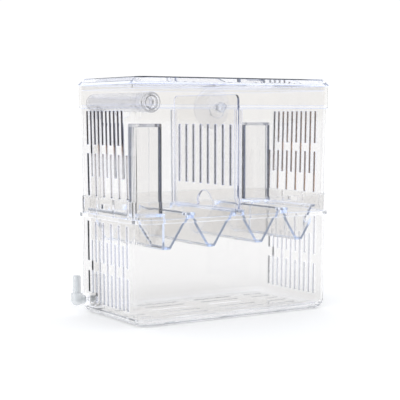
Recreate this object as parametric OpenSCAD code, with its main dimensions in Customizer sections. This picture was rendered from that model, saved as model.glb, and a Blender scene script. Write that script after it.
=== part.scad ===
// Fish breeding box: a slotted tank, a slotted frame that plugs into it, a lid,
// two V-shaped trays with corner uprights, a divider, and an air-lift water circuit.
// Millimetres. X runs along the long side, -Y is the front, Z is up from the base.

/* [Overall] */
// Width of the box over its rim bands
box_w = 200; // [180:1:240]
// Depth of the box over its rim bands
box_d = 115; // [105:1:150]
// Corner radius of the rim bands, seen from above
corner_r = 14; // [11:0.5:18]
// Thickness of the moulded walls
wall = 2; // [1.6:0.1:2.4]
// How much each side of the lower box leans in from its top to its bottom
draft = 1; // [0.4:0.1:1.4]
// Gap between pieces that rest or slide on each other
slip = 0.3; // [0.3:0.05:0.4]
// Radial clearance of the turning joints
running = 0.08; // [0.05:0.01:0.1]

/* [Lower box] */
// Height of the lower body, from the base to the rim band
lower_h = 85; // [75:1:110]
// Height of the rim band that the frame plugs into
band_h = 18; // [15:1:24]
// Wall of the rim band
band_wall = 2.8; // [2.4:0.1:3.2]
// How far the band stands out from the lower body
band_step = 2; // [1.6:0.1:2.6]
// Thickness of the shoulder that carries the frame and the trays
shoulder_t = 3; // [2:0.5:4]
// Width of the shoulder, measured in from the outside of the band
shoulder_w = 7; // [6.6:0.1:8]
// Thickness of the floor
floor_t = 3; // [2:0.5:4]
// Height of the rounding around the base
base_round = 8; // [5:0.5:9]

/* [Frame section] */
// Height of the frame's slotted body
frame_h = 90.8; // [84:0.1:110]
// Height of the collar around its top
collar_h = 19.6; // [17:0.1:26]
// How much each side of the frame leans in from its ledge to its bottom
frame_draft = 1.8; // [0.6:0.1:2]
// Thickness of the ledge between the body and the collar
ledge_t = 2.4; // [1.6:0.1:3]

/* [Lid] */
// Height of the lid above the collar
lid_h = 5.6; // [4.5:0.1:9]
// How far the lid's edge stands out past the collar
lid_overhang = 0.8; // [0:0.1:2]
// Width of the sloping border around the lid
lid_bevel = 5.3; // [3:0.1:8]
// Depth of the skirt that drops inside the collar
skirt_h = 4.5; // [3:0.1:5]
// Thickness of the skirt
skirt_t = 1.4; // [1.2:0.1:2]

/* [Slots] */
// Width of the slots in the two ends
slot_w = 3.1; // [2:0.1:4]
// Spacing of neighbouring slots in the two ends
slot_pitch = 6.9; // [5.5:0.1:8]
// Number of slot columns in each end
slot_columns = 11; // [7:2:11]
// Bridge left between the short and the long slot of one column
slot_bridge = 7.6; // [5:0.2:12]
// Length of the short slots next to the collar
frame_short = 28.8; // [20:0.2:30]
// Length of the single slots of the frame
frame_single = 56; // [45:0.5:60]
// Bottom end of the frame's long slots, above the frame's lower edge
frame_slot_foot = 15.5; // [15:0.5:22]
// Length of the short slots next to the floor
lower_short = 27; // [20:0.5:30]
// Length of the single slots of the lower box
lower_single = 54; // [45:0.5:58]
// Bottom end of the lower box's slots, above the base
lower_slot_foot = 11.5; // [9:0.5:16]
// Number of rows of floor slots
floor_rows = 6; // [4:1:7]
// Spacing of the rows of floor slots
floor_pitch = 13.4; // [10:0.1:14]
// Length of the long floor slots
floor_slot_l = 41; // [30:1:42]
// Length of the short floor slots beside the ends
floor_slot_s = 20; // [12:1:21]

/* [Rim latches] */
// Width of the slits that free the latch tongue
latch_slit = 1.6; // [1.2:0.1:2.4]
// Distance of the inner slits from the middle
latch_half = 15; // [11:0.5:18]
// Distance of the outer slits from the middle
latch_outer = 39.8; // [30:0.5:40]
// Length of the latch window
latch_l = 14; // [8:0.5:18]
// Height of the latch window
latch_h = 4; // [2.5:0.1:6]

/* [Divider] */
// Thickness of the divider plate
divider_t = 2; // [1.5:0.1:2.4]
// Distance from the divider's top to the top of the collar
divider_drop = 8; // [7.6:0.1:14]
// Number of slots in the divider
divider_slots = 8; // [4:1:8]
// Spacing of the divider's slots
divider_pitch = 11.9; // [9:0.1:12]
// Width of the divider's slots
divider_slot_w = 3; // [2:0.1:4.4]
// Length of the divider's slots
divider_slot_l = 52; // [30:1:56]
// Half width of the arched gap at the divider's foot
arch_r = 12.2; // [8:0.2:13]
// Thickness of the ribs that guide the divider
guide_t = 1.4; // [1:0.1:2]
// How far the guide ribs stand out from the wall
guide_out = 2; // [1.5:0.1:2.4]

/* [Trays] */
// Depth of the V troughs
trough_h = 27.6; // [20:0.2:34]
// Thickness of the tray's sheet
tray_t = 2.2; // [1.8:0.1:2.6]
// Width of the flat bottom of each trough
trough_flat = 4.6; // [4.2:0.1:8]
// Width of the slits along the trough bottoms
trough_slit = 2.6; // [1.6:0.1:3.4]
// Number of slits along each trough
trough_slits = 3; // [2:1:4]
// Width of the flat rim on both long sides of a tray
tray_rim = 4.4; // [3.6:0.1:6]
// Width of the flat crest between the two troughs
crest_w = 2.4; // [1.6:0.1:4]
// How far the troughs stop short of the shoulder at the end without an upright
trough_short = 4.5; // [0:0.1:6]
// Height of the trays' rims above the shoulder
tray_rise = 4.8; // [4:0.1:8]

/* [Tray uprights] */
// Height of an upright above the tray's rim
upright_h = 73.5; // [50:0.5:74]
// Length of an upright along the end of the box
upright_y = 18.5; // [15:0.5:20]
// Length of an upright along the front or back
upright_x = 19; // [16:0.5:20]
// Thickness of an upright's wall
upright_t = 1.8; // [1.4:0.1:2.2]
// Depth of the ribs along an upright's edges
upright_rib = 3.4; // [2.4:0.1:4]
// Width of the pegs that plug an upright into its tray
peg_w = 4; // [3:0.1:5]

/* [Suction cup] */
// Distance of the cup from the middle of the back
cup_x = 50.5; // [35:0.5:60]
// Radius of the cup's disc
cup_r = 20.2; // [15:0.1:22]
// Depth of the cup's disc
cup_depth = 8; // [5:0.1:9]
// Thickness of the cup's skin
cup_t = 1.4; // [1.2:0.1:1.8]
// Radius of the cup's neck
cup_neck_r = 3; // [2.5:0.1:4]
// Radius of the cup's knob
cup_knob_r = 5; // [4.6:0.1:6]
// Length of the cup's knob
cup_knob_l = 5; // [4:0.1:8]

/* [Air lift] */
// Distance of the air lift from the inside of the frame's back wall
air_back = 11.2; // [10.2:0.1:16]
// Height of the air inlet above the base
air_z = 12; // [12:0.1:16]
// Radius of the hose nozzle
nozzle_r = 3.5; // [2.6:0.1:3.8]
// Length of the hose nozzle
nozzle_l = 15.5; // [10:0.5:24]
// Radius of the air elbow's body
elbow_r = 5; // [4.8:0.1:5.6]
// Radius of the elbow's shank, between its body and the grommet
shank_r = 4.1; // [3.6:0.1:4.4]
// Distance of the nozzle from the outside of the end wall
elbow_out = 9.3; // [9:0.1:12]
// Radius of the elbow's stub
stub_r = 2.8; // [2.4:0.1:3]
// Radius of the air passage
air_r = 1.8; // [1.2:0.1:2]
// Outer radius of the riser tube
riser_r = 4.6; // [4.4:0.1:5]
// Wall of the riser tube
riser_wall = 1; // [0.8:0.1:1.1]
// Distance from the riser's axis to the inside of the frame's end wall
riser_in = 9.4; // [9.2:0.1:12]
// Outer radius of the outlet's arm
outlet_r = 8; // [7:0.1:8.2]
// Radius of the outlet's water passage
outlet_bore = 5; // [4:0.1:5.5]
// Distance of the outlet's mouth from the inside of the frame's front wall
mouth_gap = 3.6; // [3:0.2:30]
// Height of the outlet's axis below the top of the collar
outlet_drop = 15; // [13.2:0.1:16]
// Angle that the outlet's arm is turned in from the frame's end wall
outlet_turn = 2; // [1.5:0.5:20]
// Outer radius of the mouth ring
mouth_r = 8.5; // [8.3:0.1:8.9]
// Length of the mouth ring
mouth_l = 13; // [8:0.5:20]

/* [Hidden] */
$fn = 64;
eps = 0.01;
hull_fn = 32;
round_step = 22.5;
corner_follow = 0.6;
min_corner = 2;
cut_l = 20;

// Clearances between neighbouring pieces
plug_gap = slip + 0.2;
tray_gap = slip + 0.15;
drop_gap = slip + 0.1;

// Heights
shoulder_z = lower_h + shoulder_t;
band_z = lower_h + band_h;
frame_z = shoulder_z + slip;
ledge_z = frame_z + frame_h;
collar_z = ledge_z + collar_h;
lid_z = collar_z + slip;
lid_top_z = lid_z + lid_h;
rim_z = shoulder_z + tray_rise;
outlet_z = collar_z - outlet_drop;

// Half sizes, along X and Y, and corner radii
outer = [box_w / 2, box_d / 2];
lower_top = outer - [1, 1] * band_step;
lower_foot = lower_top - [1, 1] * draft;
socket = outer - [1, 1] * band_wall;
frame_foot = socket - [1, 1] * plug_gap;
frame_top = frame_foot + [1, 1] * frame_draft;
collar_in = outer - [1, 1] * band_wall;
shoulder_in = outer - [1, 1] * shoulder_w;
frame_in = frame_foot - [1, 1] * wall;
tray_out = frame_in - [1, 1] * tray_gap;
trough_out = shoulder_in - [1, 1] * drop_gap;
lid_out = outer + [1, 1] * lid_overhang;
skirt_out = collar_in - [1, 1] * drop_gap;
skirt_in = skirt_out - [1, 1] * skirt_t;

// Corner radius of a wall that lies at a given half size
function corner(half) = max(min_corner, corner_r - (outer[0] - half[0]));

// Lid
lid_edge = 0.8;
lid_border = 1.2;

// Slots and latches
frame_slot_drop = 2.4;
lower_slot_drop = 3;
lower_bridge = slot_bridge + 1;
riser_columns = 3;
riser_slot_lift = 8;
floor_slot_x = 9;
floor_slot_w = 2.2;
floor_slot_gap = 15;
riser_clear = 14;
latch_rise = 6;

// Divider and guides
guide_gap = divider_t / 2 + drop_gap;
guide_foot_z = frame_z + 0.6;
guide_z = ledge_z - 1.2;
guide_root = frame_draft + wall / 2;
divider_z = rim_z + 0.6;
divider_top_z = collar_z - divider_drop;
divider_half = frame_in[1] - plug_gap;
divider_slot_z = divider_top_z - 25.6;
divider_corner = 5;
arch_h = 13.6;

// Trays
tray_x0 = divider_t / 2 + drop_gap;
tray_w = tray_out[0] - tray_x0;
tray_mid = tray_x0 + tray_w / 2;
trough_half = (tray_w - 2 * tray_rim - crest_w) / 4;
trough_mid = [-1, 1] * (crest_w / 2 + trough_half);
foot_h = rim_z - tray_t - shoulder_z - slip;
foot_w = 6;
foot_t = tray_out[1] - shoulder_in[1] - 0.1;
foot_y = tray_out[1] - 24;
inner_end = tray_out[1] - guide_out;
lug_w = tray_x0 + tray_rim - guide_gap - guide_t - plug_gap;
trough_end = trough_out[1] - trough_short;
end_pad_w = 8;
end_pad_l = tray_out[1] - trough_end + 1;
pad_margin = 0.6;
slit_bridge = 6;
peg_gap = 0.1;
peg_in = 1;
peg_t = 1.6;
peg_l = tray_t + 1.2;
cap_t = 2.6;
pocket_x = tray_mid + trough_mid[1] + trough_flat / 2;
pocket_y = tray_out[1] - upright_y;
trough_foot_z = rim_z - trough_h - tray_t;
trough_slope = trough_h / (trough_half - trough_flat / 2);
slope_shift = tray_t * (sqrt(1 + trough_slope * trough_slope) - 1) / trough_slope;
crest_min = 0.1;

// Suction cup
cup_z = ledge_z + 1.2;
cup_gap = 0.6;
cup_face_y = outer[1] + cup_gap;
cup_core_y = cup_face_y + cup_t * 1.6;
knob_y = frame_in[1] - cup_gap;
knob_end_y = knob_y - cup_knob_l;
knob_chamfer = 1;
cup_lip = 0.8;
boss_half = 9;
boss_drop = 9;
boss_waist = 0.72;
boss_sink = 0.5;

// Air lift
air_y = frame_in[1] - air_back;
outlet_l = (air_y + frame_in[1] - mouth_gap) / cos(outlet_turn);
lower_face_x = lower_foot[0] + draft * (air_z - base_round) / (lower_h - base_round);
elbow_x = lower_face_x + elbow_out;
riser_x = frame_in[0] - riser_in;
riser_foot_z = 5.6;
riser_stop_z = outlet_z - 1.6;
riser_top_z = riser_stop_z - slip;
riser_bore = riser_r - riser_wall;
riser_gap = 0.6;
socket_wall = 2;
socket_h = 3;
grommet_r = 5.4;
grommet_neck_r = 4.2;
grommet_neck_l = wall + 0.4;
grommet_lip = 1.2;
grommet_flange_r = 5.6;
grommet_flange_t = 1.6;
port_r = stub_r + running;
stub_gap = 0.6;
nozzle_z = air_z + 6;
nozzle_tip = 1;
nozzle_taper = 0.5;
outlet_skirt_r = riser_r + 1.8;
outlet_skirt_l = 14;
outlet_step = 1;
mouth_web = 2;
mouth_wall = 1.4;
mouth_recess = 4;
mouth_lip = 1;
mouth_chamfer = 0.8;
spigot_l = outlet_l - mouth_recess - mouth_web;

// Rounded rectangle with half sizes h and corner radius r
module round_plan(h, r) {
    square([2 * h[0] - 2 * r, 2 * h[1]], center = true);
    square([2 * h[0], 2 * h[1] - 2 * r], center = true);
    for (x = [-1, 1], y = [-1, 1]) translate([x * (h[0] - r), y * (h[1] - r)]) circle(r);
}

// Straight rounded block from z0 to z1
module block(h, z0, z1, r) {
    translate([0, 0, z0]) linear_extrude(z1 - z0) round_plan(h, r);
}

// Thin slice of a leaning wall
module slice(h, z, r) {
    translate([0, 0, z]) linear_extrude(eps) round_plan(h, r, $fn = hull_fn);
}

// Rounded block that leans from half sizes h0 at z0 to h1 at z1
module leaning_block(h0, z0, h1, z1) {
    hull() {
        slice(h0, z0, corner(h0));
        slice(h1, z1 - eps, corner(h1));
    }
}

// Body with a rounded base, from the base to z1
module based_body(foot, top, z0, z1, round_h) {
    hull() {
        for (a = [0 : round_step : 90]) {
            inset = round_h * (1 - sin(a));
            slice(foot - [1, 1] * inset, z0 + round_h * (1 - cos(a)),
                  max(min_corner, corner(foot) - inset * corner_follow));
        }
        slice(top, z1 - eps, corner(top));
    }
}

// One upright slot through an end wall
module end_slot(y, z0, z1) {
    translate([-wall * 3, y - slot_w / 2, z0]) cube([wall * 6, slot_w, z1 - z0]);
}

// Offset of slot column i from the middle
function column_y(i) = (i - (slot_columns - 1) / 2) * slot_pitch;

// True for the columns that hold a short and a long slot
function is_split(i) = i % 2 == 0;

// Slots of the frame's right end; the end column at the back has no short slot
module frame_end_slots() {
    top = ledge_z - frame_slot_drop;
    for (i = [0 : slot_columns - 1]) {
        if (is_split(i)) {
            if (i < slot_columns - 1) end_slot(column_y(i), top - frame_short, top);
            end_slot(column_y(i), frame_z + frame_slot_foot, top - frame_short - slot_bridge);
        } else {
            end_slot(column_y(i), top - frame_single, top);
        }
    }
}

// Slots of the lower box's end, starting from column first
module lower_end_slots(first, last, lift) {
    foot = lower_slot_foot;
    top = lower_h - lower_slot_drop;
    for (i = [0 : slot_columns - 1]) {
        raised = (i < first || i > last) ? lift : 0;
        if (is_split(i)) {
            end_slot(column_y(i), foot + raised, foot + lower_short);
            end_slot(column_y(i), foot + lower_short + lower_bridge, top);
        } else {
            end_slot(column_y(i), foot + raised, foot + lower_single);
        }
    }
}

// Rows of slots through the floor
module floor_slots() {
    for (row = [0 : floor_rows - 1]) {
        y = (row - (floor_rows - 1) / 2) * floor_pitch;
        for (side = [-1, 1]) {
            translate([side * (floor_slot_x + floor_slot_l / 2), y, 0])
                cube([floor_slot_l, floor_slot_w, floor_t * 3], center = true);
            if (side > 0 || y < air_y - riser_clear)
                translate([side * (floor_slot_x + floor_slot_l + floor_slot_gap + floor_slot_s / 2), y, 0])
                    cube([floor_slot_s, floor_slot_w, floor_t * 3], center = true);
        }
    }
}

// Slits and window that make the latch tongue in one end of the rim band
module latch_cuts() {
    for (y = [-latch_outer, -latch_half, latch_half, latch_outer])
        translate([-band_wall, y - latch_slit / 2, shoulder_z])
            cube([band_wall * 3, latch_slit, band_h]);
    translate([-band_wall, -latch_l / 2, shoulder_z + latch_rise]) cube([band_wall * 3, latch_l, latch_h]);
}

module lower_box() {
    color([0.86, 0.9, 0.92, 0.5]) difference() {
        union() {
            based_body(lower_foot, lower_top, 0, lower_h + 1, base_round);
            block(outer, lower_h, band_z, corner_r);
        }
        difference() {
            based_body(lower_foot - [1, 1] * wall, lower_top - [1, 1] * wall, floor_t,
                       lower_h, base_round - wall);
            translate([-riser_x, air_y, 0])
                cylinder(r = riser_r + socket_wall, h = riser_foot_z + socket_h);
        }
        block(shoulder_in, lower_h - 1, shoulder_z + 1, corner(shoulder_in));
        block(socket, shoulder_z, band_z + 1, corner(socket));
        translate([outer[0] - band_wall, 0, 0]) latch_cuts();
        mirror([1, 0, 0]) translate([outer[0] - band_wall, 0, 0]) latch_cuts();
        translate([lower_foot[0], 0, 0]) lower_end_slots(0, slot_columns, 0);
        translate([-lower_foot[0], 0, 0])
            lower_end_slots(0, slot_columns - riser_columns, riser_slot_lift);
        floor_slots();
        translate([-lower_face_x - wall * 2, air_y, air_z]) rotate([0, 90, 0])
            cylinder(r = grommet_neck_r, h = wall * 4);
        translate([-riser_x, air_y, riser_foot_z]) cylinder(r = riser_r, h = cut_l);
    }
}

// Channel on the back wall that holds one upright edge of the divider, closed at its foot
module divider_guide() {
    for (side = [-1, 1])
        translate([side * (guide_gap + guide_t / 2) - guide_t / 2, frame_in[1] - guide_out, guide_foot_z])
            cube([guide_t, guide_out + guide_root, guide_z - guide_foot_z]);
    translate([-guide_gap - guide_t / 2, frame_in[1] - guide_out, guide_foot_z])
        cube([2 * guide_gap + guide_t, guide_out + guide_root, divider_z - slip - guide_foot_z]);
}

// Shield-shaped boss around one keyhole, on the outside of the back wall
module keyhole_boss() {
    translate([0, outer[1], ledge_z]) rotate([90, 0, 0])
        linear_extrude(outer[1] - frame_in[1] - frame_draft)
            polygon([[-boss_half, boss_sink], [boss_half, boss_sink],
                     [boss_half * boss_waist, -boss_drop * boss_waist], [0, -boss_drop],
                     [-boss_half * boss_waist, -boss_drop * boss_waist]]);
}

module frame_section() {
    color([0.86, 0.9, 0.92, 0.5]) difference() {
        union() {
            difference() {
                union() {
                    leaning_block(frame_foot, frame_z, frame_top, ledge_z + 1);
                    block(outer, ledge_z, collar_z, corner_r);
                    for (side = [-1, 1]) translate([side * cup_x, 0, 0]) keyhole_boss();
                }
                leaning_block(frame_in, frame_z - eps,
                              frame_top - [1, 1] * wall, ledge_z + ledge_t + 1);
                block(collar_in, ledge_z + ledge_t, collar_z + 1, corner(collar_in));
            }
            intersection() {
                leaning_block(frame_foot, frame_z, frame_top, ledge_z);
                for (turn = [0, 180]) rotate([0, 0, turn]) divider_guide();
            }
        }
        translate([frame_foot[0], 0, 0]) frame_end_slots();
        rotate([0, 0, 180]) translate([frame_foot[0], 0, 0]) frame_end_slots();
        for (side = [-1, 1])
            translate([side * cup_x, outer[1] + 1, cup_z]) rotate([90, 0, 0])
                cylinder(r = cup_neck_r + running, h = cut_l / 2);
    }
}

module lid() {
    top_half = lid_out - [1, 1] * lid_bevel;
    color([0.86, 0.9, 0.92, 0.5]) difference() {
        union() {
            block(lid_out, lid_z, lid_z + lid_edge, corner(lid_out));
            leaning_block(lid_out, lid_z + lid_edge - eps, top_half, lid_top_z);
            block(skirt_out, lid_z - skirt_h, lid_z + lid_edge / 2, corner(skirt_out));
        }
        block(skirt_in, lid_z - skirt_h - 1, lid_z, corner(skirt_in));
        leaning_block(skirt_in, lid_z - eps, top_half - [1, 1] * lid_border, lid_top_z - wall);
    }
}

module divider() {
    color([0.86, 0.9, 0.92, 0.5])
    translate([divider_t / 2, 0, 0]) rotate([0, -90, 0]) linear_extrude(divider_t)
        difference() {
            union() {
                translate([divider_z, -divider_half])
                    square([divider_top_z - divider_z - divider_corner, 2 * divider_half]);
                translate([divider_z, -divider_half + divider_corner])
                    square([divider_top_z - divider_z, 2 * (divider_half - divider_corner)]);
                for (side = [-1, 1])
                    translate([divider_top_z - divider_corner, side * (divider_half - divider_corner)])
                        circle(divider_corner);
            }
            for (i = [0 : divider_slots - 1])
                translate([divider_slot_z - divider_slot_l,
                           (i - (divider_slots - 1) / 2) * divider_pitch - divider_slot_w / 2])
                    square([divider_slot_l, divider_slot_w]);
            translate([divider_z - 1, -arch_r]) square([arch_h - arch_r + 1, 2 * arch_r]);
            translate([divider_z + arch_h - arch_r, 0]) circle(arch_r);
        }
}

// Corners of one side of the W-shaped tray, seen from the front, from its crest outwards;
// grow moves the slopes outwards, and drop lowers everything
function half_outline(grow, drop) =
    [[max(crest_w / 2 - grow, crest_min), -drop],
     [trough_mid[1] - trough_flat / 2 - grow, -trough_h - drop],
     [trough_mid[1] + trough_flat / 2 + grow, -trough_h - drop],
     [tray_w / 2 - tray_rim + grow, -drop],
     [tray_w / 2, -drop]];

// Section of the sheet on one side of the crest
module half_profile() {
    under = half_outline(slope_shift, tray_t);
    polygon(concat([[-eps, 0]], half_outline(0, 0),
                   [for (i = [len(under) - 1 : -1 : 0]) under[i]], [[-eps, -tray_t]]));
}

module tray_profile() {
    half_profile();
    mirror([1, 0]) half_profile();
}

// Plan of the corner that carries an upright, at the front left
module corner_zone(grow) {
    translate([-tray_out[0], -tray_out[1]]) square([upright_x + grow, upright_y + grow]);
}

// Plan of the two pegs of an upright, or of their holes when grown
module peg_plan(grow) {
    translate([-tray_out[0] + upright_x - peg_w - peg_in - grow, -tray_out[1] + peg_in - grow])
        square([peg_w + 2 * grow, peg_t + 2 * grow]);
    translate([-tray_out[0] + peg_in - grow, -tray_out[1] + upright_y - peg_w - peg_in - grow])
        square([peg_t + 2 * grow, peg_w + 2 * grow]);
}

// Rims of the tray and the pad under its upright
module tray_rims() {
    intersection() {
        block(tray_out, rim_z - tray_t, rim_z, corner(tray_out));
        union() {
            translate([-tray_out[0], -tray_out[1], 0]) cube([tray_rim, 2 * tray_out[1], rim_z]);
            translate([-tray_x0 - tray_rim, -inner_end, 0]) cube([tray_rim, 2 * inner_end, rim_z]);
            translate([-tray_x0 - tray_rim, -tray_out[1], 0]) cube([lug_w, 2 * tray_out[1], rim_z]);
            for (y = [-tray_out[1], tray_out[1] - end_pad_l])
                translate([-tray_mid - end_pad_w / 2, y, 0]) cube([end_pad_w, end_pad_l, rim_z]);
            linear_extrude(rim_z) corner_zone(pad_margin);
        }
    }
}

// Feet that stand on the shoulder: two at the outer side, two at each end
module tray_feet() {
    z0 = shoulder_z + slip;
    intersection() {
        block(tray_out, z0, rim_z - tray_t + eps, corner(tray_out));
        union() {
            for (y = [-1, 1])
                translate([-tray_out[0], y * foot_y - foot_w / 2, z0])
                    cube([foot_t, foot_w, foot_h + eps]);
            for (y = [-1, 1]) {
                translate([-tray_mid - foot_w / 2, y * (tray_out[1] - foot_t / 2) - foot_t / 2, z0])
                    cube([foot_w, foot_t, foot_h + eps]);
                translate([-tray_x0 - tray_rim, y * (tray_out[1] - foot_t / 2) - foot_t / 2, z0])
                    cube([lug_w, foot_t, foot_h + eps]);
            }
        }
    }
}

// Slits along the bottom of both troughs
module trough_slit_cuts() {
    step = (trough_out[1] + trough_end) / trough_slits;
    for (m = trough_mid, i = [0 : trough_slits - 1])
        translate([m - tray_mid - trough_slit / 2, i * step + slit_bridge / 2 - trough_out[1],
                   rim_z - trough_h - tray_t - 1])
            cube([trough_slit, step - slit_bridge, tray_t + 2]);
}

// Upright walls that close the outer trough around the corner under the upright
module pocket_walls() {
    translate([-pocket_x - wall, -trough_out[1], trough_foot_z])
        cube([wall, trough_out[1] - pocket_y + wall, rim_z - trough_foot_z]);
    translate([0, -pocket_y + wall, 0]) rotate([90, 0, 0]) linear_extrude(wall)
        polygon([[tray_rim - tray_out[0], rim_z], [tray_rim - tray_out[0] - slope_shift, rim_z - tray_t],
                 [-pocket_x - slope_shift, trough_foot_z], [-pocket_x, trough_foot_z], [-pocket_x, rim_z]]);
}

// Tray that fills the left half; the right one is the same piece turned round
module tray() {
    color([0.78, 0.85, 0.95, 0.6]) difference() {
        union() {
            difference() {
                intersection() {
                    translate([-tray_mid, trough_end, rim_z]) rotate([90, 0, 0])
                        linear_extrude(trough_out[1] + trough_end) tray_profile();
                    block(trough_out + [foot_t, 0], 0, rim_z, corner(trough_out));
                }
                translate([-outer[0], -outer[1], 0])
                    cube([outer[0] - pocket_x - wall, outer[1] - pocket_y, rim_z - tray_t]);
            }
            tray_rims();
            tray_feet();
            pocket_walls();
        }
        translate([0, 0, rim_z - tray_t - 1]) linear_extrude(tray_t + 2) peg_plan(peg_gap);
        trough_slit_cuts();
        translate([-riser_x, air_y, 0]) cylinder(r = riser_r + riser_gap, h = rim_z + 1);
        translate([-outer[0], air_y - riser_r - riser_gap, 0])
            cube([outer[0] - riser_x, outer[1], rim_z + 1]);
    }
}

// Plan of the upright's wall, which follows the corner of the box
module upright_plan() {
    intersection() {
        difference() {
            round_plan(tray_out, corner(tray_out));
            round_plan(tray_out - [1, 1] * upright_t, corner(tray_out) - upright_t);
        }
        corner_zone(0);
    }
    translate([-tray_out[0] + upright_x - upright_t, -tray_out[1]]) square([upright_t, upright_rib]);
    translate([-tray_out[0], -tray_out[1] + upright_y - upright_t]) square([upright_rib, upright_t]);
}

// Corner upright by which a tray is lifted out, plugged into the tray's pad
module upright() {
    top = rim_z + upright_h;
    color([0.84, 0.88, 0.92, 0.6]) union() {
        translate([0, 0, rim_z]) linear_extrude(upright_h) upright_plan();
        intersection() {
            block(tray_out, top - cap_t, top, corner(tray_out));
            linear_extrude(top) corner_zone(0);
        }
        translate([0, 0, rim_z - peg_l]) linear_extrude(peg_l + eps) peg_plan(0);
    }
}

// Soft cup: knob inside the frame, neck through the keyhole, disc behind the box
module suction_cup() {
    back_y = cup_face_y + cup_depth;
    color([0.8, 0.86, 0.9, 0.7]) translate([cup_x, 0, cup_z]) rotate([-90, 0, 0]) rotate_extrude()
        polygon([[0, knob_end_y], [cup_knob_r - knob_chamfer, knob_end_y],
                 [cup_knob_r, knob_end_y + knob_chamfer], [cup_knob_r, knob_y], [cup_neck_r, knob_y],
                 [cup_neck_r, cup_face_y], [cup_knob_r + 2, cup_face_y], [cup_knob_r + 4, cup_face_y + 1],
                 [cup_r - cup_lip / 2, back_y - cup_lip], [cup_r, back_y], [cup_r - cup_t, back_y],
                 [cup_knob_r + 3, cup_face_y + 1 + cup_t], [cup_knob_r + 1, cup_core_y],
                 [0, cup_core_y]]);
}

module air_elbow() {
    shank = elbow_x - (lower_face_x + grommet_flange_t + slip);
    color([0.88, 0.91, 0.93, 0.6]) difference() {
        union() {
            translate([-elbow_x, air_y, air_z]) {
                sphere(r = elbow_r);
                cylinder(r = elbow_r, h = nozzle_z - air_z);
                rotate([0, 90, 0]) cylinder(r = shank_r, h = shank);
                rotate([0, 90, 0]) cylinder(r = stub_r, h = elbow_x - riser_x - stub_gap);
            }
            translate([-elbow_x, air_y, nozzle_z - eps]) cylinder(r = nozzle_r, h = nozzle_l - nozzle_tip);
            translate([-elbow_x, air_y, nozzle_z + nozzle_l - nozzle_tip - eps])
                cylinder(r1 = nozzle_r, r2 = nozzle_r - nozzle_taper, h = nozzle_tip);
        }
        translate([-elbow_x, air_y, air_z]) {
            cylinder(r = air_r, h = nozzle_z - air_z + nozzle_l + 1);
            rotate([0, 90, 0]) cylinder(r = air_r, h = elbow_x - riser_x);
            sphere(r = air_r);
        }
    }
}

module elbow_grommet() {
    color([0.8, 0.86, 0.9, 0.7])
    translate([-lower_face_x, air_y, air_z]) rotate([0, 90, 0]) difference() {
        union() {
            translate([0, 0, -grommet_flange_t]) cylinder(r = grommet_flange_r, h = grommet_flange_t);
            cylinder(r = grommet_neck_r, h = grommet_neck_l);
            translate([0, 0, grommet_neck_l])
                cylinder(r1 = grommet_r, r2 = grommet_neck_r, h = grommet_lip);
        }
        translate([0, 0, -grommet_flange_t - 1]) cylinder(r = port_r, h = cut_l);
    }
}

module riser_tube() {
    color([0.88, 0.92, 0.95, 0.5]) difference() {
        translate([-riser_x, air_y, riser_foot_z]) cylinder(r = riser_r, h = riser_top_z - riser_foot_z);
        translate([-riser_x, air_y, riser_foot_z - 1]) cylinder(r = riser_bore, h = riser_top_z);
        translate([-riser_x - riser_r - 1, air_y, air_z]) rotate([0, 90, 0])
            cylinder(r = stub_r + slip, h = riser_r + 1);
    }
}

// Places a piece of the outlet on the riser, turned with the arm; its arm runs along -Y
module on_riser() {
    translate([-riser_x, air_y, outlet_z]) rotate([0, 0, outlet_turn]) children();
}

module outlet_elbow() {
    color([0.75, 0.8, 0.84, 0.8]) on_riser() difference() {
        union() {
            sphere(r = outlet_r);
            rotate([90, 0, 0]) cylinder(r = outlet_r, h = outlet_l - mouth_l);
            rotate([90, 0, 0]) cylinder(r = outlet_r - outlet_step, h = spigot_l);
            translate([0, 0, -outlet_skirt_l]) cylinder(r = outlet_skirt_r, h = outlet_skirt_l);
        }
        translate([0, 0, -outlet_skirt_l - 1])
            cylinder(r = riser_r + running, h = riser_stop_z - outlet_z + outlet_skirt_l + 1);
        translate([0, 0, riser_stop_z - outlet_z - eps])
            cylinder(r = riser_bore, h = outlet_z - riser_stop_z);
        sphere(r = outlet_bore);
        rotate([90, 0, 0]) cylinder(r = outlet_bore, h = outlet_l + 1);
    }
}

module outlet_mouth() {
    color([0.7, 0.75, 0.8, 0.85])
    on_riser() translate([0, -outlet_l, 0]) rotate([-90, 0, 0]) difference() {
        union() {
            cylinder(r1 = mouth_r - mouth_chamfer, r2 = mouth_r, h = mouth_chamfer);
            translate([0, 0, mouth_chamfer - eps]) cylinder(r = mouth_r, h = mouth_l - mouth_chamfer + eps);
        }
        translate([0, 0, mouth_recess + mouth_web]) cylinder(r = outlet_r - outlet_step, h = mouth_l);
        difference() {
            translate([0, 0, -1]) cylinder(r = mouth_r - mouth_wall, h = mouth_recess + 1);
            translate([0, 0, mouth_recess / 2]) cylinder(r = outlet_bore + mouth_lip, h = mouth_recess);
        }
        translate([0, 0, -1]) cylinder(r = outlet_bore, h = mouth_l);
    }
}

lower_box();
frame_section();
lid();
divider();
tray();  // left_tray
rotate([0, 0, 180]) tray();  // right_tray
upright();  // left_upright
rotate([0, 0, 180]) upright();  // right_upright
suction_cup();
air_elbow();
elbow_grommet();
riser_tube();
outlet_elbow();
outlet_mouth();
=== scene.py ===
"""Looks of a clear fish breeding box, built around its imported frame."""

import math

import bmesh
import bpy
from mathutils import Matrix, Vector


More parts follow.
